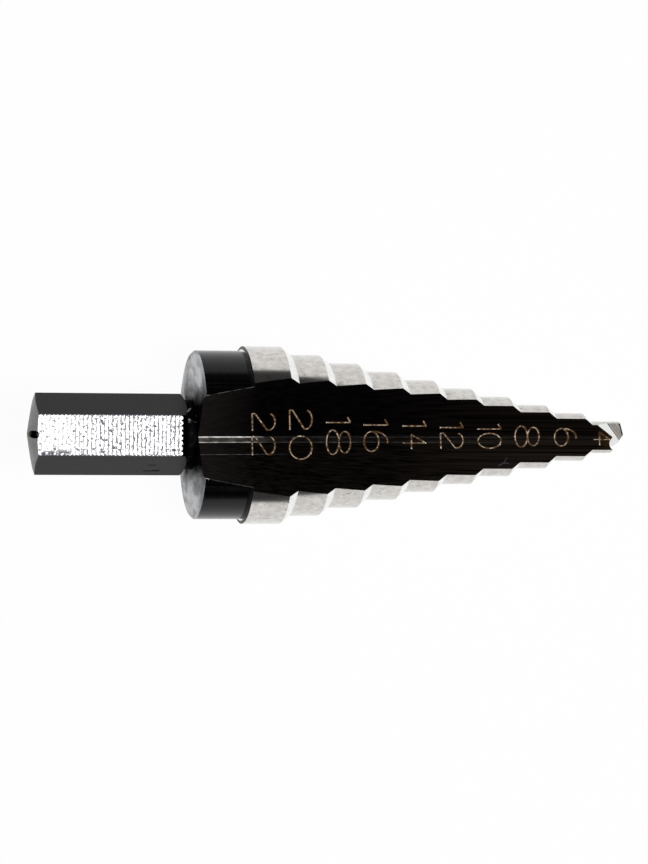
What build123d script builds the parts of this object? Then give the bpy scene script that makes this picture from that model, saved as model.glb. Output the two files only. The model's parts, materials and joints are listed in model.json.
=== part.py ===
from build123d import *

import os
from math import asin, atan, cos, degrees, pi, radians, sin, tan

# Step drill: one solid bar of high-speed steel, with a hexagonal shank, a turned neck, a plain
# collar, ten stepped cutting diameters, a single straight V flute and a split point.
#
# The part lies as the real tool comes to rest on a flat surface, on the front corners of its
# lands, with the point low, the shank in the air and the flute facing up. +X runs from the shank
# to the point, +Z is up, and the origin is under the middle of the part.
#
# "station" is a distance along the tool's own axis, in mm, from the corners of the shank's rear
# end, and "azimuth" is an angle round that axis in degrees, from the middle of the flute towards
# the cutting wall.

# Steps: diameters and lengths
pilot_diameter = 4.0
step_count = 10
diameter_rise = 2.0  # growth in diameter from one step to the next
step_pitch = 4.88  # axial distance from one step to the next
step_chamfer_length = 1.15  # axial length of the chamfer that leads into the next step
top_land_length = 4.63  # the largest step's land, up to the chamfer in front of it

# Body and shank
collar_length = 6.27
collar_bevel = 0.35
shoulder_height = 0.575  # how far the largest step stands above the collar
shoulder_fillet_radius = 0.5
neck_diameter = 8.6
neck_length = 1.05
shank_sides = 6
shank_across_flats = 8.73
shank_length = 18.35
shank_end_angle = 158.0  # included angle of the turned point on the shank's rear end
shank_end_crown = 0.04  # how far that point's sides bulge from a straight cone
shank_shoulder_angle = 30.0  # slope of the turned corners where the hexagon meets the neck
shank_shoulder_crown = 0.06

# Mark drilled square to the upper flat, through the edge of the rear cone
mark_diameter = 0.95
mark_station = -0.41
mark_floor_height = 0.5  # height of the mark's floor above the tool's axis

# Flute: a V ground by a wheel that lifts out towards the shank
flute_half_angle = 52.0
flute_root_radius = 0.3
flute_wheel_radius = 137.0
flute_straight_length = 17.6  # from the pilot's front corner back to where the wheel lifts

# Point
point_angle = 135.0
lip_relief_angle = 12.0
heel_facet_azimuth = 185.0
heel_facet_slope = 0.55

# Gash ground into the cutting wall beside the lip: a flat floor and one sloping side, whose two
# edges start on the pilot's land and run in across the wall, each at its own angle to the axis
gash_depth = 0.39
gash_mouth_setback = 3.13  # from the pilot's front corner back to the start of the edge
gash_mouth_angle = 39.5
gash_floor_setback = 1.88
gash_floor_angle = 52.0
gash_overcut = 0.2  # how far the gash's cutter stands out of the wall

# Notch that takes the heel of the point away behind the other wall
heel_notch_radius = 1.29
heel_notch_setback = 0.08  # from the pilot's front corner back to the notch's centre
heel_notch_offset = 1.2  # from the tool's axis out along the wall to the notch's centre

cutter_overrun = 3.0  # how far the cutting shapes reach past the metal that they remove

# Stations and radii that follow from the sizes above
pilot_radius = pilot_diameter / 2
radius_rise = diameter_rise / 2
top_step_radius = pilot_radius + (step_count - 1) * radius_rise
shank_corner_radius = shank_across_flats / 2 / cos(pi / shank_sides)
shank_end_height = shank_corner_radius / tan(radians(shank_end_angle / 2))
neck_radius = neck_diameter / 2
shoulder_run = (shank_corner_radius - neck_radius) * tan(radians(shank_shoulder_angle))
collar_radius = top_step_radius - shoulder_height
collar_station = shank_length + neck_length
steps_station = collar_station + collar_length
first_corner_station = steps_station + top_land_length
pilot_corner_station = first_corner_station + (step_count - 1) * step_pitch
lip_slope = 1 / tan(radians(point_angle / 2))
apex_station = pilot_corner_station + pilot_radius * lip_slope

# The front corners of the lands lie on one cone, and the tool rests along its side
rest_tilt = degrees(atan(radius_rise / step_pitch))
axis_direction = Vector(cos(radians(rest_tilt)), 0, -sin(radians(rest_tilt)))
up_direction = Vector(sin(radians(rest_tilt)), 0, cos(radians(rest_tilt)))
side_direction = Vector(0, 1, 0)
shank_end_origin = (
    axis_direction * -first_corner_station + Vector(0, 0, top_step_radius * cos(radians(rest_tilt)))
)


def axis_point(station):
    return shank_end_origin + axis_direction * station


def section_plane(station):
    """Plane square to the tool's axis, with local x sideways and local y up."""
    return Plane(axis_point(station), x_dir=side_direction, z_dir=axis_direction)


def radial_direction(azimuth):
    return side_direction * sin(radians(azimuth)) + up_direction * cos(radians(azimuth))


def gash_edge(height, outward):
    """Edge of the gash at a height above its floor, where outward is the distance from the axis."""
    mouth = -gash_mouth_setback + (pilot_radius - outward) / tan(radians(gash_mouth_angle))
    floor = -gash_floor_setback + (pilot_radius - outward) / tan(radians(gash_floor_angle))
    return (floor + (mouth - floor) * height / gash_depth, outward)


# Lengthwise plane: local x is the station and local y the radius
profile_plane = Plane(axis_point(0), x_dir=axis_direction, z_dir=-side_direction)
tool_axis = Axis(axis_point(0), axis_direction)

with BuildPart() as step_drill:
    # Turned blank
    with BuildSketch(profile_plane) as blank:
        with BuildLine():
            SagittaArc((-shank_end_height, 0), (0, shank_corner_radius), shank_end_crown)
            Line((0, shank_corner_radius), (shank_length - shoulder_run, shank_corner_radius))
            SagittaArc(
                (shank_length - shoulder_run, shank_corner_radius),
                (shank_length, neck_radius),
                shank_shoulder_crown,
            )
            outline = [
                (shank_length, neck_radius),
                (collar_station, neck_radius),
                (collar_station, collar_radius - collar_bevel),
                (collar_station + collar_bevel, collar_radius),
                (steps_station, collar_radius),
                (steps_station, top_step_radius),
            ]
            for step in range(step_count - 1):
                corner_station = first_corner_station + step * step_pitch
                land_radius = top_step_radius - step * radius_rise
                outline += [
                    (corner_station, land_radius),
                    (corner_station + step_chamfer_length, land_radius - radius_rise),
                ]
            outline += [
                (pilot_corner_station, pilot_radius),
                (apex_station, 0),
                (-shank_end_height, 0),
            ]
            Polyline(*outline)
        make_face()
        shoulder_corner = blank.vertices().sort_by_distance((steps_station, collar_radius))[0]
        fillet(shoulder_corner, min(shoulder_fillet_radius, 0.9 * shoulder_height))
    revolve(axis=tool_axis)

    # Flats of the shank, one of them on top
    with BuildSketch(section_plane(-shank_end_height)):
        Circle(shank_corner_radius + cutter_overrun)
        RegularPolygon(
            shank_across_flats / 2,
            shank_sides,
            major_radius=False,
            rotation=90 - 180 / shank_sides,
            mode=Mode.SUBTRACT,
        )
    extrude(amount=shank_end_height + shank_length, mode=Mode.SUBTRACT)

    # Mark in the shank's rear end
    mark_plane = Plane(
        axis_point(mark_station) + up_direction * mark_floor_height,
        x_dir=axis_direction,
        z_dir=up_direction,
    )
    with BuildSketch(mark_plane):
        Circle(mark_diameter / 2)
    extrude(amount=shank_corner_radius, mode=Mode.SUBTRACT)

    # Flute: the wheel's V section runs straight towards the point, and lifts along the wheel's rim
    # towards the shank
    lift_station = pilot_corner_station - flute_straight_length
    flute_depth = top_step_radius + cutter_overrun
    flute_half_width = flute_depth * tan(radians(flute_half_angle))
    wheel_axis = Axis(
        axis_point(lift_station) + up_direction * flute_wheel_radius, side_direction
    )
    lift_angle = degrees(asin(lift_station / flute_wheel_radius))
    with BuildSketch(section_plane(lift_station)) as wheel_section:
        with BuildLine():
            Polyline(
                (-flute_half_width, flute_depth),
                (0, 0),
                (flute_half_width, flute_depth),
                close=True,
            )
        make_face()
        fillet(wheel_section.vertices().sort_by(Axis.Y)[:1], flute_root_radius)
    extrude(amount=apex_station - lift_station + cutter_overrun, mode=Mode.SUBTRACT)
    revolve(
        wheel_section.sketch, axis=wheel_axis, revolution_arc=lift_angle, mode=Mode.SUBTRACT
    )

    # Gash beside the lip, on the wall that cuts
    cutting_wall = Plane(
        axis_point(pilot_corner_station),
        x_dir=axis_direction,
        z_dir=radial_direction(flute_half_angle - 90),
    )
    point_reach = pilot_diameter + gash_mouth_setback
    for height in (0, gash_depth + gash_overcut):
        with BuildSketch(cutting_wall.offset(height - gash_depth)):
            with BuildLine():
                Polyline(
                    gash_edge(height, point_reach),
                    gash_edge(height, -point_reach),
                    (gash_edge(height, -point_reach)[0] + point_reach, -point_reach),
                    (gash_edge(height, -point_reach)[0] + point_reach, point_reach),
                    close=True,
                )
            make_face()
    loft(ruled=True, mode=Mode.SUBTRACT)

    # Notch behind the heel, square to the other wall
    heel_wall = Plane(
        axis_point(pilot_corner_station),
        x_dir=axis_direction,
        z_dir=radial_direction(-flute_half_angle - 90),
    )
    with BuildSketch(heel_wall):
        with Locations((-heel_notch_setback, heel_notch_offset)):
            Circle(heel_notch_radius)
            Rectangle(
                point_reach, 2 * heel_notch_radius, align=(Align.MIN, Align.CENTER)
            )
    extrude(amount=pilot_diameter, both=True, mode=Mode.SUBTRACT)

    # Relief facets ground on the point, one behind the lip and one towards the heel
    lip_facet_turn = degrees(atan(tan(radians(lip_relief_angle)) / lip_slope))
    lip_facet = (flute_half_angle + lip_facet_turn, lip_slope / cos(radians(lip_facet_turn)))
    heel_facet = (heel_facet_azimuth, heel_facet_slope)
    for azimuth, slope in (lip_facet, heel_facet):
        facet_normal = axis_direction + radial_direction(azimuth) * slope
        split(
            bisect_by=Plane(axis_point(apex_station), z_dir=facet_normal), keep=Keep.BOTTOM
        )

# The origin goes under the middle of the part, on the surface it rests on
box = step_drill.part.bounding_box()
step_drill.part.move(Location((-box.center().X, -box.center().Y, -box.min.Z)))

step_drill.part.label = "step_drill"
os.makedirs("parts", exist_ok=True)
export_step(step_drill.part, "parts/step_drill.step")
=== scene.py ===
import json
import math

import bpy
from mathutils import Matrix, Vector
from mathutils.bvhtree import BVHTree


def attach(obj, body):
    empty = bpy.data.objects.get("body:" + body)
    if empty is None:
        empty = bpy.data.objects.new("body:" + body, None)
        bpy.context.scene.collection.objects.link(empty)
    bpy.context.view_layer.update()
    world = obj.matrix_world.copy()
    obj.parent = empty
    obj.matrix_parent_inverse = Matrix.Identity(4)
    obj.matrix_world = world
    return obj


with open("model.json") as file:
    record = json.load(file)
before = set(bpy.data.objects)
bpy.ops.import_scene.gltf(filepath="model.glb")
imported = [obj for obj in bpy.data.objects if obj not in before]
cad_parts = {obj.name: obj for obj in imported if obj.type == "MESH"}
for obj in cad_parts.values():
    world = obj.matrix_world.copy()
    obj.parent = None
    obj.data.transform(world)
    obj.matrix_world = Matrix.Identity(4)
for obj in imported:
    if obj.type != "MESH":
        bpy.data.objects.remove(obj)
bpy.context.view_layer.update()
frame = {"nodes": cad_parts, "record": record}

# Step drill on a white floor. The CAD solid is shown as it is, with a finish for each kind of
# surface, and the size numbers in its flute are thin raised strokes laid on the two walls.
#
# Blender's units are metres. The sizes below are in mm, in the tool's own frame: the station runs
# along the tool's axis from the corners of the shank's rear end, side is towards the wall that
# cuts, and up is out of the flute.
MM = 0.001

# Sizes of the solid
shank_length = 18.35
shank_sides = 6
shank_across_flats = 8.73
flat_half_width = shank_across_flats / 2 * math.tan(math.radians(180.0 / shank_sides))
collar_station = 19.4
collar_radius = 10.425
steps_station = 25.67
shoulder_fillet = 0.5
first_corner_station = 30.3
step_count = 10
step_pitch = 4.88
top_step_radius = 11.0
radius_rise = 1.0
flute_half_angle = math.radians(52.0)
gash_depth = 0.39
gash_floor_angle = math.radians(52.0)
point_angle = math.radians(135.0)

# Where one kind of surface gives way to the next
mark_front = 0.1  # the mark in the rear end lies behind this station and within this radius
mark_reach = 4.3
rear_end_front = 1.2
rear_bevel = 0.3  # from the collar's rear face to the end of its bevel
point_station = 70.6  # the gash and the ground facets all lie in front of this
station_slack = 0.01  # for a face that lies right on a station

# How a face is turned, by parts of its normal: along the tool's axis, where -1 faces the shank's
# end and 1 the point, then up, and out from the axis
mark_turn = -0.9
rear_cone_turn = -0.7
rear_face_turn = -0.5
shoulder_turn = -0.3
flat_turn = 0.1
chamfer_turn = 0.3
point_turn = 0.8
upper_flat_rise = 0.95
outward_share = 0.6
outer_radius_share = 0.8  # of the radius at the foot of the chamfer there
wall_match = 0.9999  # how closely the gash's floor and a wall of the flute line up

# Marks on the flats of the shank
mill_pitch = 0.51  # from one of the cutter's tool marks to the next
bead_pitch = 0.62  # of the line where the bright part ends in front
flat_painted_shade_start = 17.62  # painted shade makes the upper flat black in front of this station
flat_border = 0.06  # width of the upper flat's dull edge
flat_worn_station = 3.0  # the rear of the upper flat is rubbed smooth up to about here
flat_fresh_station = 8.0  # its tool marks are fresh from about here
flat_corner_side = -1.6  # its rear corner beyond this side is rubbed in patches

# Scratches on a lower flat: middle station, half length, side and half width
flat_scratches = ((14.2, 0.3, -3.7, 0.03), (14.25, 0.85, -4.45, 0.04), (14.8, 0.3, -4.35, 0.03))

# Forked scratch on a wall of the flute: middle station, half length, side and slope of each line
wall_scratches = ((58.2, 0.35, -3.4, 0.5), (58.85, 0.22, -2.9, 1.3), (58.9, 0.25, -3.25, -0.1))
wall_scratch_half_width = 0.03

# Oxide in the flute: paler by its mouth, browner and then dark brown towards the point, and
# painted lighter on one wall than on the other as painted light and shade, with the change between
# two sides
mouth_fade_offset = 1.0  # the paler part ends this far in front of the collar
brown_start = 42.0
brown_end = 62.0
tip_start = 71.2
tip_end = 73.6
shaded_wall_side = -0.2
lit_wall_side = -0.5

# Edges and corners
mark_dark_end = -0.45  # painted shade inside the mark in the rear end fades out between two stations
mark_light_start = -0.72
chip_side = 2.6  # where the neck's corner is chipped
edge_dot_offset = 0.5  # from the collar's rear face to the bright dot in its edge
curl_highlight_side = 10.2  # a painted highlight makes the shoulder's fillet bright beyond this side
lip_shade = 0.22  # width of the dark strip behind the lip

# Rear face of the collar: painted shade by the neck fades out between two distances, and a painted
# highlight brightens the face towards its rim between two radii
neck_shade_start = 4.7
neck_shade_end = 7.2
rim_highlight_start = 5.0
rim_highlight_end = 8.0

# Bright lines along the flute: the two at its root, side -0.14, are a painted highlight, and the
# others are lines beside it. Each has its side, half width, the stations between which it fades
# out, its strength at the start and its colour
root_highlight_and_lines = (
    (-0.14, 0.06, 25.5, 28.0, 1.0, (1.0, 0.98, 0.95)),
    (-0.14, 0.03, 26.0, 75.0, 0.14, (0.5, 0.48, 0.45)),
    (-0.45, 0.26, 23.0, 30.0, 0.6, (0.17, 0.15, 0.13)),
    (-0.45, 0.26, 30.0, 75.0, 0.1, (0.08, 0.075, 0.07)),
    (-0.76, 0.03, 25.0, 28.0, 1.0, (0.8, 0.78, 0.74)),
    (-0.76, 0.02, 26.0, 65.0, 0.22, (0.5, 0.48, 0.45)),
    (-2.2, 0.02, 25.0, 32.0, 0.25, (0.4, 0.4, 0.4)),
)

# What follows from the sizes
pilot_corner_station = first_corner_station + (step_count - 1) * step_pitch
pilot_radius = top_step_radius - (step_count - 1) * radius_rise
lip_slope = 1 / math.tan(point_angle / 2)
apex_station = pilot_corner_station + pilot_radius * lip_slope

# The tool's own frame, from the shank's mount, which is halfway along the shank
shank_mount = next(m for m in frame["record"]["mounts"] if m["name"] == "shank")
axis_direction = -Vector(shank_mount["axis"]).normalized()
side_direction = Vector((0, 1, 0))
up_direction = axis_direction.cross(side_direction)
tool_origin = Vector(shank_mount["pos_m"]) - axis_direction * shank_length / 2 * MM
tool_axes = Matrix((axis_direction, side_direction, up_direction)).transposed()

# Camera: it looks down on the tool, along the way the tool rests, from a little to one side
picture_width = 648
picture_height = 864
camera_distance = 400.0
camera_dip = math.radians(11.5806)  # the tool's own, as it rests
camera_roll = math.radians(1.7)
camera_along = 5.679  # from the corner of the largest step to the middle of the picture
camera_across = 0.435
picture_turn = 0.00635
lens_length = 134.25
sensor_width = 36.0

# Lights
key_distance = 350.0
key_side = 88.0
key_power = 1.1
room_light = 0.045
white_reach = 120.0  # how far from the drill the floor is reflected as white
white_fade = 75.0
floor_glow_share = 0.97

# Size numbers: strokes of raised, tan-tinted metal. Each number's foot and head and each digit's
# two sides are where they stand in the picture, in its pixels
stroke_spacing = 0.05  # greatest distance between a stroke's points, as a share of its digit's box
stroke_width = 0.1
stroke_rise = 0.012
scorch_width = 0.3
scorch_rise = 0.006
stroke_sink = 0.02
dot_width = 0.17
dot_rise = 0.014
dot_reach = 0.5  # half of a dot's length, in pixels
dim_stroke_start = 69.8  # painted shade dims the last number between these stations and these sides
dim_stroke_end = 71.0
dim_side_start = -0.16
dim_side_end = 0.04
number_places = {
    "22": (252.0, 275.0, ((413.5, 430.0), (436.5, 454.5))),
    "20": (289.5, 312.0, ((410.0, 429.0), (436.0, 459.2))),
    "18": (326.5, 350.5, ((417.0, 422.5), (430.0, 454.5))),
    "16": (364.0, 388.0, ((419.5, 425.0), (431.5, 451.5))),
    "14": (403.0, 426.0, ((420.5, 426.0), (434.0, 448.5))),
    "12": (440.5, 463.0, ((422.0, 427.5), (433.0, 448.0))),
    "10": (478.0, 501.0, ((424.0, 429.0), (433.3, 448.3))),
    "8": (515.0, 539.0, ((426.0, 447.0),)),
    "6": (554.5, 576.5, ((428.5, 446.0),)),
    "4": (593.5, 610.0, ((431.5, 444.5),)),
}


def tool_point(station, side, up):
    """Point of the row frame, in metres, from a place in the tool's own frame, in mm."""
    return tool_origin + tool_axes @ Vector((station, side, up)) * MM


def in_tool_frame(point):
    """Place in the tool's own frame, in mm, of a point of the row frame, in metres."""
    return tool_axes.transposed() @ (point - tool_origin) / MM


# --- Camera, floor and light ---------------------------------------------------------------


def camera_axes():
    """Directions in the row frame: along and across the drill, then right, up and into the view."""
    rolled_up = up_direction * math.cos(camera_roll) + side_direction * math.sin(camera_roll)
    rolled_side = side_direction * math.cos(camera_roll) - up_direction * math.sin(camera_roll)
    along = axis_direction * math.cos(camera_dip) + rolled_up * math.sin(camera_dip)
    into = axis_direction * math.sin(camera_dip) - rolled_up * math.cos(camera_dip)
    right = (along + rolled_side * picture_turn).normalized()
    up = (rolled_side - along * picture_turn).normalized()
    return along, rolled_side, right, up, into


def camera_place():
    """The camera's place in the row frame, in metres."""
    along, rolled_side, _, _, into = camera_axes()
    offset = along * camera_along + rolled_side * camera_across - into * camera_distance
    return tool_point(first_corner_station, 0, 0) + offset * MM


def add_camera():
    _, _, right, up, into = camera_axes()
    data = bpy.data.cameras.new("camera")
    data.lens = lens_length
    data.sensor_width = sensor_width
    camera = bpy.data.objects.new("camera", data)
    place = Matrix((right, up, -into)).transposed().to_4x4()
    place.translation = camera_place()
    camera.matrix_world = place
    bpy.context.scene.collection.objects.link(camera)
    bpy.context.scene.camera = camera


def seen_directly(tree):
    """1 for the rays that show the background: camera, glossy and transmission rays."""
    path = tree.nodes.new("ShaderNodeLightPath").outputs
    return most(tree, path["Is Camera Ray"], path["Is Glossy Ray"], path["Is Transmission Ray"])


def floor_glow(tree):
    """White all over to the camera, and white only near the drill in its reflections."""
    path = tree.nodes.new("ShaderNodeLightPath")
    coordinate = tree.nodes.new("ShaderNodeTexCoord")
    distance = tree.nodes.new("ShaderNodeVectorMath")
    distance.operation = "LENGTH"
    tree.links.new(coordinate.outputs["Object"], distance.inputs[0])
    far = (white_reach + white_fade) * MM
    near_white = ranged(tree, distance.outputs["Value"], white_reach * MM, far, 1.0, room_light)
    return most(tree, near_white, path.outputs["Is Camera Ray"])


def add_floor():
    """White floor that keeps a little of the object's shadow."""
    half = 3.0
    mesh = bpy.data.meshes.new("floor")
    corners = [(-half, -half, 0), (half, -half, 0), (half, half, 0), (-half, half, 0)]
    mesh.from_pydata(corners, [], [(0, 1, 2, 3)])
    floor = bpy.data.objects.new("floor", mesh)
    bpy.context.scene.collection.objects.link(floor)
    material = bpy.data.materials.new("white_floor")
    material.use_nodes = True
    tree = material.node_tree
    tree.nodes.clear()
    output = tree.nodes.new("ShaderNodeOutputMaterial")
    diffuse = tree.nodes.new("ShaderNodeBsdfDiffuse")
    diffuse.inputs["Color"].default_value = (0.9, 0.9, 0.9, 1)
    glow = tree.nodes.new("ShaderNodeEmission")
    tree.links.new(floor_glow(tree), glow.inputs["Strength"])
    mix = tree.nodes.new("ShaderNodeMixShader")
    share = product(tree, seen_directly(tree), floor_glow_share)
    tree.links.new(share, mix.inputs["Fac"])
    tree.links.new(diffuse.outputs["BSDF"], mix.inputs[1])
    tree.links.new(glow.outputs["Emission"], mix.inputs[2])
    tree.links.new(mix.outputs["Shader"], output.inputs["Surface"])
    mesh.materials.append(material)


def add_world():
    """White behind the object, and a dim room above the horizon for it to reflect."""
    world = bpy.data.worlds.new("world")
    world.use_nodes = True
    bpy.context.scene.world = world
    tree = world.node_tree
    background = tree.nodes["Background"]
    path = tree.nodes.new("ShaderNodeLightPath").outputs
    strength = most(tree, path["Is Camera Ray"], path["Is Transmission Ray"], room_light)
    background.inputs["Color"].default_value = (1, 1, 1, 1)
    tree.links.new(strength, background.inputs["Strength"])


def add_key_light():
    """Softbox overhead, placed so that the shank's upper flat mirrors it to the camera."""
    flat_middle = tool_point(shank_length / 2, 0, shank_across_flats / 2)
    to_camera = (camera_place() - flat_middle).normalized()
    direction = 2 * to_camera.dot(up_direction) * up_direction - to_camera
    data = bpy.data.lights.new("key", "AREA")
    data.energy = key_power
    data.size = key_side * MM
    key = bpy.data.objects.new("key", data)
    key.location = flat_middle + direction * key_distance * MM
    key.rotation_mode = "QUATERNION"
    key.rotation_quaternion = direction.to_track_quat("Z", "Y")
    key.visible_camera = False
    bpy.context.scene.collection.objects.link(key)


# --- Shader helpers ------------------------------------------------------------------------


def join(tree, operation, first, second):
    """Math node over two inputs, each a socket or a number."""
    node = tree.nodes.new("ShaderNodeMath")
    node.operation = operation
    for index, value in enumerate((first, second)):
        if isinstance(value, (int, float)):
            node.inputs[index].default_value = value
        else:
            tree.links.new(value, node.inputs[index])
    return node.outputs[0]


def tool_position(tree):
    """Place in the tool's own frame, in mm."""
    coordinate = tree.nodes.new("ShaderNodeTexCoord")
    mapping = tree.nodes.new("ShaderNodeMapping")
    mapping.vector_type = "TEXTURE"
    mapping.inputs["Location"].default_value = tool_origin
    mapping.inputs["Rotation"].default_value = tool_axes.to_euler()
    mapping.inputs["Scale"].default_value = (MM, MM, MM)
    tree.links.new(coordinate.outputs["Object"], mapping.inputs["Vector"])
    return mapping.outputs["Vector"]


def noise(tree, position, stretch, detail=2.0, roughness=0.5):
    """Noise over the tool's frame, with so many cells to the mm along each of its axes."""
    scale = tree.nodes.new("ShaderNodeVectorMath")
    scale.operation = "MULTIPLY"
    scale.inputs[1].default_value = stretch
    tree.links.new(position, scale.inputs[0])
    texture = tree.nodes.new("ShaderNodeTexNoise")
    texture.inputs["Scale"].default_value = 1.0
    texture.inputs["Detail"].default_value = detail
    texture.inputs["Roughness"].default_value = roughness
    tree.links.new(scale.outputs["Vector"], texture.inputs["Vector"])
    return texture.outputs["Fac"]


def ranged(tree, value, low, high, result_low, result_high):
    """Map Range node, clamped."""
    node = tree.nodes.new("ShaderNodeMapRange")
    settings = (low, high, result_low, result_high)
    for name, number in zip(("From Min", "From Max", "To Min", "To Max"), settings):
        node.inputs[name].default_value = number
    tree.links.new(value, node.inputs["Value"])
    return node.outputs["Result"]


def blended(tree, share, first, second):
    """Colour between two, each a colour or a socket."""
    node = tree.nodes.new("ShaderNodeMix")
    node.data_type = "RGBA"
    tree.links.new(share, node.inputs["Factor"])
    for socket, value in ((node.inputs[6], first), (node.inputs[7], second)):
        if isinstance(value, tuple):
            socket.default_value = (*value, 1)
        else:
            tree.links.new(value, socket)
    return node.outputs[2]


def lines_across(tree, place, pitch, width):
    """1 on narrow lines at an even pitch along a coordinate, in mm, and 0 between them."""
    node = tree.nodes.new("ShaderNodeMath")
    node.operation = "PINGPONG"
    tree.links.new(place, node.inputs[0])
    node.inputs[1].default_value = pitch / 2
    return ranged(tree, node.outputs[0], width / 2, width, 1.0, 0.0)


def parts_of(tree, position):
    """The position's three coordinates: X is the station, Y the side and Z up."""
    parts = tree.nodes.new("ShaderNodeSeparateXYZ")
    tree.links.new(position, parts.inputs["Vector"])
    return parts.outputs


def band(tree, place, middle, half_width, fade):
    """1 within half a width of a place, fading to 0 outside it."""
    away = join(tree, "ABSOLUTE", join(tree, "SUBTRACT", place, middle), 0.0)
    return ranged(tree, away, half_width, half_width + fade, 1.0, 0.0)


def product(tree, *factors):
    """Product of several values, each a socket or a number."""
    result = factors[0]
    for factor in factors[1:]:
        result = join(tree, "MULTIPLY", result, factor)
    return result


def most(tree, *values):
    """The largest of several values."""
    result = values[0]
    for value in values[1:]:
        result = join(tree, "MAXIMUM", result, value)
    return result


def radius_of(tree, places):
    """Distance from the tool's axis, in mm."""
    squares = [join(tree, "POWER", places[axis], 2.0) for axis in ("Y", "Z")]
    return join(tree, "POWER", join(tree, "ADD", *squares), 0.5)


def aside_of(tree, places):
    """Distance to either side of the tool's middle plane, in mm."""
    return join(tree, "ABSOLUTE", places["Y"], 0.0)


def painted(tree, shader, colour, roughness):
    """Links the colour and the roughness, each a socket."""
    tree.links.new(colour, shader.inputs["Base Color"])
    tree.links.new(roughness, shader.inputs["Roughness"])


def bumped(tree, shader, height, depth):
    """Bump of a depth in mm."""
    node = tree.nodes.new("ShaderNodeBump")
    node.inputs["Distance"].default_value = depth * MM
    tree.links.new(height, node.inputs["Height"])
    tree.links.new(node.outputs["Normal"], shader.inputs["Normal"])


def new_material(name, metallic, ior):
    """The material, its node tree and its shader, with the two values set on the shader."""
    material = bpy.data.materials.new(name)
    material.use_nodes = True
    tree = material.node_tree
    shader = tree.nodes["Principled BSDF"]
    shader.inputs["Metallic"].default_value = metallic
    shader.inputs["IOR"].default_value = ior
    return material, tree, shader


# --- Finishes ------------------------------------------------------------------------------


def shank_flat_material():
    """Satin black oxide over a milled flat, with the cutter's faint bands across it."""
    material, tree, shader = new_material("shank_flat", metallic=0.0, ior=1.25)
    position = tool_position(tree)
    places = parts_of(tree, position)
    bands = lines_across(tree, places["X"], mill_pitch, 0.12)
    bands = product(tree, bands, noise(tree, position, (2.0, 1.0, 1.0)))
    cloud = ranged(tree, noise(tree, position, (0.5, 1.5, 1.5)), 0.3, 0.7, 0.0, 1.0)
    film = blended(tree, cloud, (0.0045, 0.0035, 0.005), (0.0095, 0.008, 0.0105))
    colour = blended(tree, bands, film, (0.013, 0.0115, 0.015))
    roughness = ranged(tree, cloud, 0.0, 1.0, 0.3, 0.38)
    for middle, half_length, side, half_width in flat_scratches:
        length = band(tree, places["X"], middle, half_length, 0.3)
        scratch = product(tree, length, band(tree, places["Y"], side, half_width, 0.06))
        colour = blended(tree, scratch, colour, (0.0008, 0.0007, 0.001))
        roughness = join(tree, "ADD", roughness, product(tree, scratch, 0.3))
    painted(tree, shader, colour, roughness)
    bumped(tree, shader, bands, 0.004)
    return material


def flat_grooves(tree, position, places):
    """Tool marks across the upper flat, wavy and worn away here and there."""
    wander = product(tree, noise(tree, position, (1.5, 2.2, 1.0)), 0.35)
    grooves = lines_across(tree, join(tree, "ADD", places["X"], wander), mill_pitch, 0.1)
    patchy = noise(tree, position, (1.95, 3.2, 1.0), detail=4.0)
    patchy = ranged(tree, patchy, 0.4, 0.62, 0.15, 0.9)
    forward = ranged(tree, places["X"], flat_worn_station, flat_fresh_station + 0.5, 0.35, 1.0)
    return product(tree, grooves, patchy, forward)


def flat_flecks(tree, position, places):
    """Dull specks and blots on the upper flat, and its rubbed rear corner."""
    specks = noise(tree, position, (3.2, 3.2, 3.2), detail=4.0)
    specks = ranged(tree, specks, 0.58, 0.66, 0.0, 0.9)
    rearward = ranged(tree, places["X"], flat_worn_station - 1.0, flat_fresh_station, 0.6, 1.0)
    blots = noise(tree, position, (1.1, 1.4, 1.0), detail=5.0)
    blots = ranged(tree, blots, 0.65, 0.7, 0.0, 0.9)
    rubbed = noise(tree, position, (2.6, 2.6, 2.6), detail=5.0)
    rubbed = ranged(tree, rubbed, 0.48, 0.58, 0.0, 1.0)
    corner_side = ranged(tree, places["Y"], flat_corner_side - 0.7, flat_corner_side, 1.0, 0.0)
    corner_end = ranged(tree, places["X"], flat_worn_station, flat_fresh_station, 1.0, 0.0)
    corner = product(tree, corner_side, corner_end, rubbed)
    return most(tree, product(tree, specks, rearward), blots, corner)


def flat_border_shade(tree, places):
    """Dull edge along the upper flat, scalloped by the tool marks."""
    scallop = product(tree, lines_across(tree, places["X"], mill_pitch, 0.2), 0.09)
    reach = join(tree, "ADD", aside_of(tree, places), scallop)
    return ranged(tree, reach, flat_half_width - flat_border, flat_half_width, 0.0, 1.0)


def flat_front_painted_shade(tree, places):
    """1 on the front end of the upper flat, black with painted shade, which meets the bright part
    in a beaded line.
    """
    beads = product(tree, lines_across(tree, places["Y"], bead_pitch, 0.16), 0.2)
    reach = join(tree, "ADD", places["X"], beads)
    return ranged(tree, reach, flat_painted_shade_start, flat_painted_shade_start + flat_border, 0.0, 1.0)


def upper_flat_material():
    """The milled flat that faces up: bright tool marks, with dull flecks between them, and painted
    shade over its front end.
    """
    material, tree, shader = new_material("upper_flat", metallic=0.0, ior=1.6)
    position = tool_position(tree)
    places = parts_of(tree, position)
    grooves = flat_grooves(tree, position, places)
    flecks = flat_flecks(tree, position, places)
    dull = most(tree, grooves, flecks, flat_border_shade(tree, places))
    # painted shade: the front end of the upper flat is made black and non-reflecting
    painted_front_shade = flat_front_painted_shade(tree, places)
    colour = blended(tree, dull, (0.05, 0.05, 0.06), (0.035, 0.032, 0.065))
    colour = blended(tree, painted_front_shade, colour, (0.003, 0.003, 0.003))
    painted(tree, shader, colour, most(tree, ranged(tree, dull, 0.0, 1.0, 0.24, 0.62), painted_front_shade))
    tree.links.new(painted_front_shade, shader.inputs["Metallic"])
    bumped(tree, shader, dull, -0.004)
    return material


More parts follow.
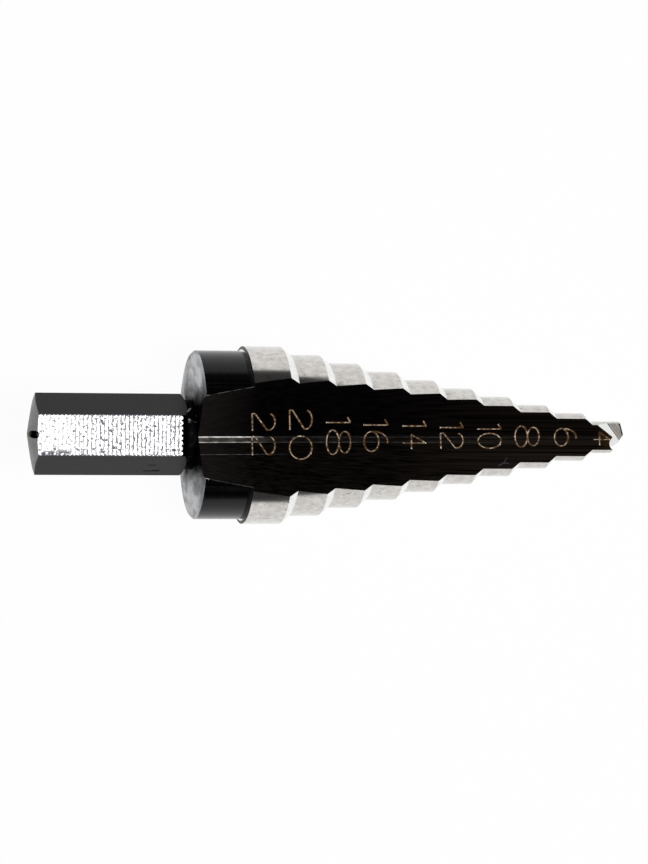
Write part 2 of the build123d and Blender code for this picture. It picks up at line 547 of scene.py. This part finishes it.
def shank_end_material():
    """Turned rear cone of the shank: thin oxide that lets the steel show."""
    material, tree, shader = new_material("shank_end", metallic=0.35, ior=1.45)
    cloud = noise(tree, tool_position(tree), (3.0, 1.2, 0.5), detail=3.0)
    cloud = ranged(tree, cloud, 0.35, 0.65, 0.0, 1.0)
    colour = blended(tree, cloud, (0.12, 0.115, 0.125), (0.29, 0.275, 0.255))
    painted(tree, shader, colour, ranged(tree, cloud, 0.0, 1.0, 0.32, 0.5))
    return material


def mark_hole_material():
    """Inside of the mark drilled in the shank's rear end: painted shade, near black, fading lighter
    where it opens.
    """
    material, tree, shader = new_material("mark", metallic=0.0, ior=1.1)
    position = tool_position(tree)
    tone = noise(tree, position, (3.0, 3.0, 3.0))
    colour = blended(tree, tone, (0.002, 0.0015, 0.001), (0.006, 0.004, 0.003))
    station = parts_of(tree, position)["X"]
    # painted shade inside the mark, fading out towards its opening
    painted_shade_fade = ranged(tree, station, mark_dark_end, mark_light_start, 0.0, 1.0)
    colour = blended(tree, painted_shade_fade, colour, (0.16, 0.14, 0.115))
    painted(tree, shader, colour, ranged(tree, tone, 0.3, 0.7, 0.8, 0.9))
    return material


def body_material():
    """Glossy black oxide of the collar, with fine turned rings."""
    material, tree, shader = new_material("body", metallic=0.0, ior=1.25)
    position = tool_position(tree)
    rings = noise(tree, position, (6.0, 0.3, 0.3), detail=3.0)
    streaks = noise(tree, position, (0.06, 3.0, 3.0), detail=3.0)
    streaks = ranged(tree, streaks, 0.45, 0.7, 0.0, 1.0)
    tone = product(tree, streaks, ranged(tree, rings, 0.3, 0.6, 0.4, 1.0))
    colour = blended(tree, tone, (0.0003, 0.0002, 0.0003), (0.007, 0.0064, 0.007))
    painted(tree, shader, colour, ranged(tree, rings, 0.3, 0.7, 0.1, 0.22))
    bumped(tree, shader, join(tree, "ADD", rings, streaks), 0.002)
    return material


def neck_material():
    """Dull black oxide in the turned neck and on the corners beside it, with a few pale chips."""
    material, tree, shader = new_material("neck", metallic=0.0, ior=1.05)
    position = tool_position(tree)
    chips = noise(tree, position, (1.6, 1.6, 1.6), detail=4.0)
    chips = ranged(tree, chips, 0.54, 0.64, 0.0, 1.0)
    cluster = band(tree, parts_of(tree, position)["Y"], chip_side, 0.7, 0.4)
    chips = product(tree, chips, ranged(tree, cluster, 0.0, 1.0, 0.02, 1.0))
    colour = blended(tree, chips, (0.0015, 0.0015, 0.002), (0.3, 0.3, 0.31))
    painted(tree, shader, colour, ranged(tree, chips, 0.0, 1.0, 0.5, 0.35))
    return material


def rear_face_material():
    """Rear face of the collar: blackened, with bright rubbed patches under a painted highlight
    towards its rim, and painted shade by the neck.
    """
    material, tree, shader = new_material("rear_face", metallic=0.0, ior=1.06)
    position = tool_position(tree)
    places = parts_of(tree, position)
    rubbed = noise(tree, position, (1.0, 0.5, 0.2), detail=5.0, roughness=0.6)
    patches = ranged(tree, rubbed, 0.36, 0.6, 0.55, 1.0)
    # painted shade by the neck: it fades out with the distance from the neck
    below = most(tree, product(tree, places["Z"], -1.0), 0.0)
    from_neck = most(tree, aside_of(tree, places), below)
    from_neck = join(tree, "ADD", from_neck, product(tree, rubbed, 2.0))
    clear = ranged(tree, from_neck, neck_shade_start, neck_shade_end, 0.0, 1.0)
    # painted highlight: the rubbed patches grow brighter towards the rim
    rim_highlight = ranged(tree, radius_of(tree, places), rim_highlight_start, rim_highlight_end, 0.7, 0.92)
    wear_and_highlight = product(tree, patches, rim_highlight, clear)
    colour = blended(tree, wear_and_highlight, (0.003, 0.003, 0.0035), (0.52, 0.53, 0.55))
    dull = ranged(tree, product(tree, clear, patches), 0.0, 1.0, 0.5, 0.36)
    by_neck = ranged(tree, clear, 0.0, 1.0, 1.0, 0.0)
    painted(tree, shader, colour, most(tree, dull, by_neck))
    tree.links.new(wear_and_highlight, shader.inputs["Metallic"])
    bumped(tree, shader, rubbed, 0.08)
    return material


def oxide_film(tree, grain, places):
    """Black oxide of the flute's walls, paler by the mouth, browner towards the point, and one wall
    lighter as painted light.
    """
    streaks = ranged(tree, grain, 0.35, 0.65, 0.0, 1.0)
    shaded_wall_film = blended(tree, streaks, (0.0002, 0.0002, 0.0002), (0.0022, 0.0014, 0.0016))
    lit_wall_film = blended(tree, streaks, (0.0004, 0.0003, 0.0002), (0.0065, 0.0052, 0.0046))
    # painted light and shade: one wall of the flute is lighter than the other
    lit_wall_share = ranged(tree, places["Y"], shaded_wall_side, lit_wall_side, 0.0, 1.0)
    colour = blended(tree, lit_wall_share, shaded_wall_film, lit_wall_film)

    mouth_start = collar_station + mouth_fade_offset
    mouth_end = steps_station + mouth_fade_offset
    mouth = ranged(tree, places["X"], mouth_start, mouth_end, 0.9, 0.0)
    mouth = product(tree, mouth, ranged(tree, grain, 0.3, 0.6, 0.6, 1.0))
    colour = blended(tree, mouth, colour, (0.0125, 0.0102, 0.0098))

    brown = ranged(tree, places["X"], brown_start, brown_end, 0.0, 1.0)
    # painted light: the brown is stronger on the lit wall
    brown_by_lit_wall = ranged(tree, places["Y"], shaded_wall_side, lit_wall_side, 0.35, 0.85)
    brown = product(tree, brown, streaks, brown_by_lit_wall)
    colour = blended(tree, brown, colour, (0.020, 0.0145, 0.011))
    tip = ranged(tree, places["X"], tip_start, tip_end, 0.0, 0.9)
    return blended(tree, tip, colour, (0.03, 0.017, 0.005))


def scratched(tree, colour, places):
    """The forked scratch on the lighter wall of the flute."""
    for middle, half_length, side, slope in wall_scratches:
        level = join(tree, "SUBTRACT", places["Y"], product(tree, places["X"], slope))
        length = band(tree, places["X"], middle, half_length, 0.1)
        middle_level = side - middle * slope
        across = band(tree, level, middle_level, wall_scratch_half_width, 0.05)
        scratch = product(tree, length, across)
        colour = blended(tree, scratch, colour, (0.055, 0.06, 0.075))
    return colour


def collar_edge_line(tree, colour, position, places):
    """Bright line where the flute's walls meet the collar, with a brighter dot by its rear face."""
    patchy = noise(tree, position, (1.5, 0.5, 0.5), detail=3.0)
    patchy = ranged(tree, patchy, 0.4, 0.6, 0.1, 1.0)
    edge = band(tree, radius_of(tree, places), collar_radius, 0.05, 0.03)
    on_collar = ranged(tree, places["X"], steps_station, steps_station + 0.1, 1.0, 0.0)
    edge = product(tree, edge, patchy, on_collar)
    colour = blended(tree, edge, colour, (0.14, 0.14, 0.135))
    edge_dot = band(tree, places["X"], collar_station + edge_dot_offset, 0.2, 0.1)
    edge_dot = product(tree, edge, edge_dot)
    return blended(tree, edge_dot, colour, (0.9, 0.9, 0.88))


def lined_with_root_highlight(tree, colour, position, places):
    """Broken bright lines along the flute: a painted highlight on its root, and lines beside it."""
    broken = noise(tree, position, (1.2, 2.0, 2.0), detail=3.0)
    broken = ranged(tree, broken, 0.4, 0.6, 0.35, 1.0)
    for side, half_width, start, end, share, tint in root_highlight_and_lines:
        fading = ranged(tree, places["X"], start, end, share, 0.0)
        line = product(tree, band(tree, places["Y"], side, half_width, 0.03), broken, fading)
        colour = blended(tree, line, colour, tint)
    return colour


def flute_material():
    """Black oxide over walls ground along the flute, with painted light on one wall, a painted
    highlight along the root and bright lines beside it.
    """
    material, tree, shader = new_material("flute", metallic=0.0, ior=1.1)
    position = tool_position(tree)
    places = parts_of(tree, position)
    grain = noise(tree, position, (0.015, 5.0, 5.0), detail=3.0)
    colour = oxide_film(tree, grain, places)
    colour = scratched(tree, colour, places)
    colour = collar_edge_line(tree, colour, position, places)
    colour = lined_with_root_highlight(tree, colour, position, places)
    painted(tree, shader, colour, ranged(tree, grain, 0.3, 0.7, 0.34, 0.46))
    bumped(tree, shader, grain, 0.003)
    return material


def shoulder_material():
    """Blackened step behind the largest land, with a painted highlight curling over each end of its
    fillet.
    """
    material, tree, shader = new_material("shoulder", metallic=0.0, ior=1.15)
    position = tool_position(tree)
    places = parts_of(tree, position)
    rings = noise(tree, position, (8.0, 0.3, 0.3))
    oxide = blended(tree, rings, (0.0004, 0.0003, 0.0006), (0.003, 0.0027, 0.004))
    # painted highlight curling over each end of the fillet
    outer = ranged(tree, aside_of(tree, places), curl_highlight_side, curl_highlight_side + 0.2, 0.0, 1.0)
    behind = ranged(tree, places["X"], steps_station - 0.08, steps_station - 0.16, 0.0, 1.0)
    curl_highlight = product(tree, outer, behind)
    colour = blended(tree, curl_highlight, oxide, (0.95, 0.95, 0.95))
    painted(tree, shader, colour, ranged(tree, rings, 0.3, 0.7, 0.25, 0.4))
    tree.links.new(curl_highlight, shader.inputs["Metallic"])
    return material


def steel_material(name, dark, bright, roughness, grain, depth):
    """Bright ground steel, with the grain that its wheel leaves and a few dark flecks."""
    material, tree, shader = new_material(name, metallic=1.0, ior=2.5)
    position = tool_position(tree)
    fine = noise(tree, position, grain, detail=4.0, roughness=0.6)
    cloud = noise(tree, position, (1.2, 1.2, 1.2))
    tone = product(tree, join(tree, "ADD", fine, cloud), 0.5)
    tone = ranged(tree, tone, 0.38, 0.62, 0.0, 1.0)
    flecks = noise(tree, position, (1.4, 3.5, 3.5), detail=3.0)
    flecks = ranged(tree, flecks, 0.64, 0.7, 0.0, 0.6)
    colour = blended(tree, flecks, blended(tree, tone, dark, bright), (0.12, 0.115, 0.11))
    painted(tree, shader, colour, ranged(tree, tone, 0.0, 1.0, roughness * 1.3, roughness))
    bumped(tree, shader, fine, depth)
    return material


def satin_material(name, dark, bright, metallic, grain):
    """Freshly ground facet of the point, bright from every side."""
    material, tree, shader = new_material(name, metallic=metallic, ior=1.45)
    streaks = noise(tree, tool_position(tree), grain, detail=3.0)
    streaks = ranged(tree, streaks, 0.35, 0.65, 0.0, 1.0)
    colour = blended(tree, streaks, dark, bright)
    painted(tree, shader, colour, ranged(tree, streaks, 0.0, 1.0, 0.5, 0.4))
    return material


def gash_floor_material():
    """Ground floor of the gash: satin, streaked along the lip and dark beside it."""
    material, tree, shader = new_material("gash_floor", metallic=0.3, ior=1.45)
    places = parts_of(tree, tool_position(tree))
    sideways = product(tree, places["Y"], math.sin(flute_half_angle))
    upwards = product(tree, places["Z"], math.cos(flute_half_angle))
    out = join(tree, "ADD", sideways, upwards)
    lip = join(tree, "SUBTRACT", apex_station, product(tree, out, lip_slope))
    behind = join(tree, "SUBTRACT", lip, places["X"])
    along = join(tree, "ADD", places["X"], product(tree, out, 1 / math.tan(gash_floor_angle)))
    streaks = tree.nodes.new("ShaderNodeTexNoise")
    streaks.noise_dimensions = "1D"
    streaks.inputs["Scale"].default_value = 6.0
    tree.links.new(along, streaks.inputs["W"])
    tone = ranged(tree, streaks.outputs["Fac"], 0.35, 0.65, 0.0, 1.0)
    colour = blended(tree, tone, (0.22, 0.20, 0.18), (0.62, 0.59, 0.55))
    edge = ranged(tree, behind, lip_shade, lip_shade + 0.12, 1.0, 0.0)
    colour = blended(tree, edge, colour, (0.012, 0.011, 0.01))
    painted(tree, shader, colour, ranged(tree, tone, 0.0, 1.0, 0.5, 0.4))
    return material


def stroke_material():
    """Tan metal of the size numbers' strokes, sparkling here and there, with painted shade on the
    last number.
    """
    material, tree, shader = new_material("marked_steel", metallic=0.1, ior=1.45)
    position = tool_position(tree)
    places = parts_of(tree, position)
    tone = noise(tree, position, (2.4, 2.4, 2.4), detail=3.0)
    tone = ranged(tree, tone, 0.44, 0.66, 0.0, 1.0)
    colour = blended(tree, tone, (0.10, 0.06, 0.032), (0.95, 0.8, 0.62))
    sparkle = ranged(tree, noise(tree, position, (5.5, 5.5, 5.5)), 0.64, 0.72, 0.0, 1.0)
    colour = blended(tree, sparkle, colour, (1.0, 0.96, 0.88))
    # painted shade over the last number by the point, on one wall
    by_tip = ranged(tree, places["X"], dim_stroke_start, dim_stroke_end, 0.0, 0.95)
    painted_tip_shade = product(tree, by_tip, ranged(tree, places["Y"], dim_side_start, dim_side_end, 0.0, 1.0))
    colour = blended(tree, painted_tip_shade, colour, (0.06, 0.033, 0.01))
    painted(tree, shader, colour, ranged(tree, tone, 0.0, 1.0, 0.5, 0.35))
    return material


def dot_material():
    """Bright metal of the dots on the strokes."""
    material, tree, shader = new_material("marked_dot", metallic=0.0, ior=1.45)
    tone = noise(tree, tool_position(tree), (4.0, 4.0, 4.0))
    colour = blended(tree, tone, (0.75, 0.68, 0.58), (1.0, 0.97, 0.92))
    painted(tree, shader, colour, ranged(tree, tone, 0.3, 0.7, 0.4, 0.5))
    return material


def scorch_material():
    """Brown tint that the marking leaves beside each stroke."""
    material, tree, shader = new_material("scorched_oxide", metallic=0.0, ior=1.25)
    tone = noise(tree, tool_position(tree), (4.0, 4.0, 4.0))
    colour = blended(tree, tone, (0.014, 0.006, 0.002), (0.10, 0.046, 0.016))
    painted(tree, shader, colour, ranged(tree, tone, 0.3, 0.7, 0.4, 0.5))
    return material


def finishes():
    """Each kind of surface and its material."""
    return {
        "shank_flat": shank_flat_material(),
        "upper_flat": upper_flat_material(),
        "shank_end": shank_end_material(),
        "mark": mark_hole_material(),
        "neck": neck_material(),
        "body": body_material(),
        "rear_face": rear_face_material(),
        "shoulder": shoulder_material(),
        "flute": flute_material(),
        "land": steel_material(
            "land", (0.50, 0.48, 0.455), (0.69, 0.67, 0.64), 0.12, (7.0, 5.0, 5.0), 0.0006
        ),
        # the chamfers take a lighter copy of the lands' ground steel: painted light for the
        # brighter light they reflect
        "chamfer": steel_material(
            "chamfer", (0.80, 0.80, 0.79), (0.92, 0.92, 0.91), 0.15, (2.0, 2.0, 2.0), 0.0006
        ),
        "gash_side": satin_material(
            "gash_side", (0.97, 0.97, 0.96), (1.0, 1.0, 1.0), 0.1, (3.0, 3.0, 3.0)
        ),
        "gash_floor": gash_floor_material(),
        "point": satin_material(
            "point", (0.45, 0.44, 0.42), (0.62, 0.61, 0.59), 0.7, (4.0, 4.0, 4.0)
        ),
    }


def point_kind(centre, normal):
    """Kind of surface among the facets in front of the last land, or None for a wall."""
    for wall_side in (-1, 1):
        facing = Vector((0, wall_side * math.cos(flute_half_angle), math.sin(flute_half_angle)))
        if normal.dot(facing) > wall_match:
            return "gash_floor" if centre.dot(facing) < -gash_depth / 2 else None
    if normal.x > point_turn:
        return "point"
    return "gash_side"


def shank_kind(centre, normal):
    """Kind of surface behind the collar."""
    reach = math.hypot(centre.y, centre.z)
    if centre.x < mark_front and reach < mark_reach and normal.x > mark_turn:
        return "mark"
    if centre.x < shank_length + station_slack and abs(normal.x) < flat_turn:
        return "upper_flat" if normal.z > upper_flat_rise else "shank_flat"
    if centre.x < rear_end_front:
        return "shank_end" if normal.x < rear_cone_turn else "mark"
    return "neck"


def is_outside(centre, normal):
    """Whether a place is on the turned outside of the collar and the steps."""
    radial = Vector((0, centre.y, centre.z))
    fallen = max(0.0, centre.x - first_corner_station) / step_pitch * radius_rise
    chamfer_foot = top_step_radius - fallen - radius_rise
    outward = normal.dot(radial) > outward_share * radial.length
    return outward and radial.length > outer_radius_share * chamfer_foot


def outside_kind(centre, normal):
    """Kind of surface on the turned outside."""
    if centre.x < steps_station - shoulder_fillet:
        return "body"
    if centre.x < steps_station:
        return "shoulder"
    return "chamfer" if normal.x > chamfer_turn else "land"


def surface_kind(centre, normal):
    """Kind of surface at a place in the tool's frame, from where it is and how it faces."""
    if centre.x < collar_station - station_slack:
        return shank_kind(centre, normal)
    if normal.x < rear_face_turn and centre.x < collar_station + rear_bevel:
        return "rear_face"
    if is_outside(centre, normal):
        return outside_kind(centre, normal)
    if normal.x < shoulder_turn:
        return "shoulder"
    if centre.x > point_station:
        return point_kind(centre, normal) or "flute"
    return "flute"


def dress_drill():
    """Gives each face of the CAD solid the finish of its kind of surface."""
    drill = frame["nodes"]["step_drill"]
    mesh = drill.data
    materials = finishes()
    mesh.materials.clear()
    order = list(materials)
    for kind in order:
        mesh.materials.append(materials[kind])
    for polygon in mesh.polygons:
        centre = in_tool_frame(polygon.center)
        normal = tool_axes.transposed() @ polygon.normal
        polygon.material_index = order.index(surface_kind(centre, normal))


# --- Size numbers --------------------------------------------------------------------------


def arc(centre, radii, start, end, count=24):
    """Points of an ellipse's arc in the digit's box, angles in degrees from its right side."""
    angles = [math.radians(start + (end - start) * i / count) for i in range(count + 1)]
    across = [centre[0] + radii[0] * math.cos(angle) for angle in angles]
    along = [centre[1] + radii[1] * math.sin(angle) for angle in angles]
    return list(zip(across, along))


# Strokes of each digit in a box of 1 by 1, from its left foot to its right head
digit_strokes = {
    "0": [arc((0.5, 0.5), (0.5, 0.5), 0, 360)],
    "1": [[(1, 0), (1, 1), (0, 0.87)]],
    "2": [arc((0.5, 0.72), (0.5, 0.28), 165, -15) + [(0.02, 0.14), (0, 0.03)], [(0, 0), (1, 0.02)]],
    "4": [[(0.62, 0), (0.62, 1), (0.1, 0.41)], [(0, 0.37), (1, 0.37)]],
    "6": [arc((0.5, 0.31), (0.5, 0.31), 180, -180) + arc((0.5, 0.4), (0.5, 0.58), 170, 80)],
    "8": [arc((0.5, 0.26), (0.5, 0.26), 90, 450), arc((0.5, 0.76), (0.44, 0.24), -90, 270)],
}

# Dots at the ends of strokes, in the same box
digit_dots = {
    "0": ((0.75, 0.95),),
    "1": ((1, 0),),
    "2": ((1, 0.02),),
    "4": ((0.62, 0.98), (1, 0.37)),
}


def drill_surface():
    """The solid's faces, to cast rays at."""
    mesh = frame["nodes"]["step_drill"].data
    corners = [vertex.co for vertex in mesh.vertices]
    return BVHTree.FromPolygons(corners, [tuple(polygon.vertices) for polygon in mesh.polygons])


def seen_at(surface, column, row):
    """Place and normal of the drill's surface at a pixel of the picture."""
    _, _, right, up, into = camera_axes()
    focal = lens_length / sensor_width * picture_height
    ray = right * (column - picture_width / 2) + up * (picture_height / 2 - row) + into * focal
    place, normal, _, _ = surface.ray_cast(camera_place(), ray.normalized())
    return place, normal


def refined(stroke, spacing):
    """The stroke's points, with more between them where they are far apart."""
    points = [Vector(stroke[0])]
    for end in stroke[1:]:
        start = points[-1]
        count = max(1, math.ceil((Vector(end) - start).length / spacing))
        points += [start.lerp(Vector(end), i / count) for i in range(1, count + 1)]
    return points


def add_bar(vertices, faces, path, width, rise):
    """Thin bar along a path of (place, normal), partly sunk in the surface, with closed ends."""
    first = len(vertices)
    for i, (place, normal) in enumerate(path):
        before = path[max(i - 1, 0)][0]
        after = path[min(i + 1, len(path) - 1)][0]
        across = (after - before).cross(normal).normalized() * width / 2 * MM
        top = place + normal * rise * MM
        bottom = place - normal * stroke_sink * MM
        vertices += [top - across, top + across, bottom + across, bottom - across]
    for i in range(len(path) - 1):
        ring = first + 4 * i
        for side in range(4):
            after = (side + 1) % 4
            faces.append((ring + side, ring + after, ring + 4 + after, ring + 4 + side))
    last = first + 4 * (len(path) - 1)
    faces.append((first + 3, first + 2, first + 1, first))
    faces.append((last, last + 1, last + 2, last + 3))


def number_paths(name, surface):
    """The number's strokes, each as a path of (place, normal) on the walls of the flute."""
    foot, head, digits = number_places[name]
    paths = []
    for digit, (left, right) in zip(name, digits):
        for stroke in digit_strokes[digit]:
            path = []
            for point in refined(stroke, stroke_spacing):
                column = foot + (head - foot) * point.y
                row = left + (right - left) * point.x
                path.append(seen_at(surface, column, row))
            paths.append(path)
    return paths


def add_strokes(name, paths, width, rise, material):
    """One piece of thin bars, which rides on the drill."""
    vertices, faces = [], []
    for path in paths:
        add_bar(vertices, faces, path, width, rise)
    mesh = bpy.data.meshes.new(name)
    mesh.from_pydata(vertices, [], faces)
    mesh.materials.append(material)
    strokes = bpy.data.objects.new(name, mesh)
    bpy.context.scene.collection.objects.link(strokes)
    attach(strokes, "root")
    return strokes


def add_dots(name, surface, material):
    """Bright dots on the strokes, most of them at a stroke's end."""
    foot, head, digits = number_places[name]
    paths = []
    for digit, (left, right) in zip(name, digits):
        for across, along in digit_dots.get(digit, ()):
            column = foot + (head - foot) * along
            row = left + (right - left) * across
            ends = (column - dot_reach, column + dot_reach)
            paths.append([seen_at(surface, end, row) for end in ends])
    if paths:
        dots = add_strokes("dots_" + name, paths, dot_width, dot_rise, material)


def add_numbers():
    """The size numbers, each a bright stroke on a wider brown one."""
    surface = drill_surface()
    bright = stroke_material()
    brown = scorch_material()
    dot = dot_material()
    for name in number_places:
        paths = number_paths(name, surface)
        add_strokes("number_" + name, paths, stroke_width, stroke_rise, bright)
        add_strokes("tint_" + name, paths, scorch_width, scorch_rise, brown)
        add_dots(name, surface, dot)


add_camera()
add_floor()
add_world()
add_key_light()
bpy.context.scene.view_settings.view_transform = "Standard"
dress_drill()
add_numbers()
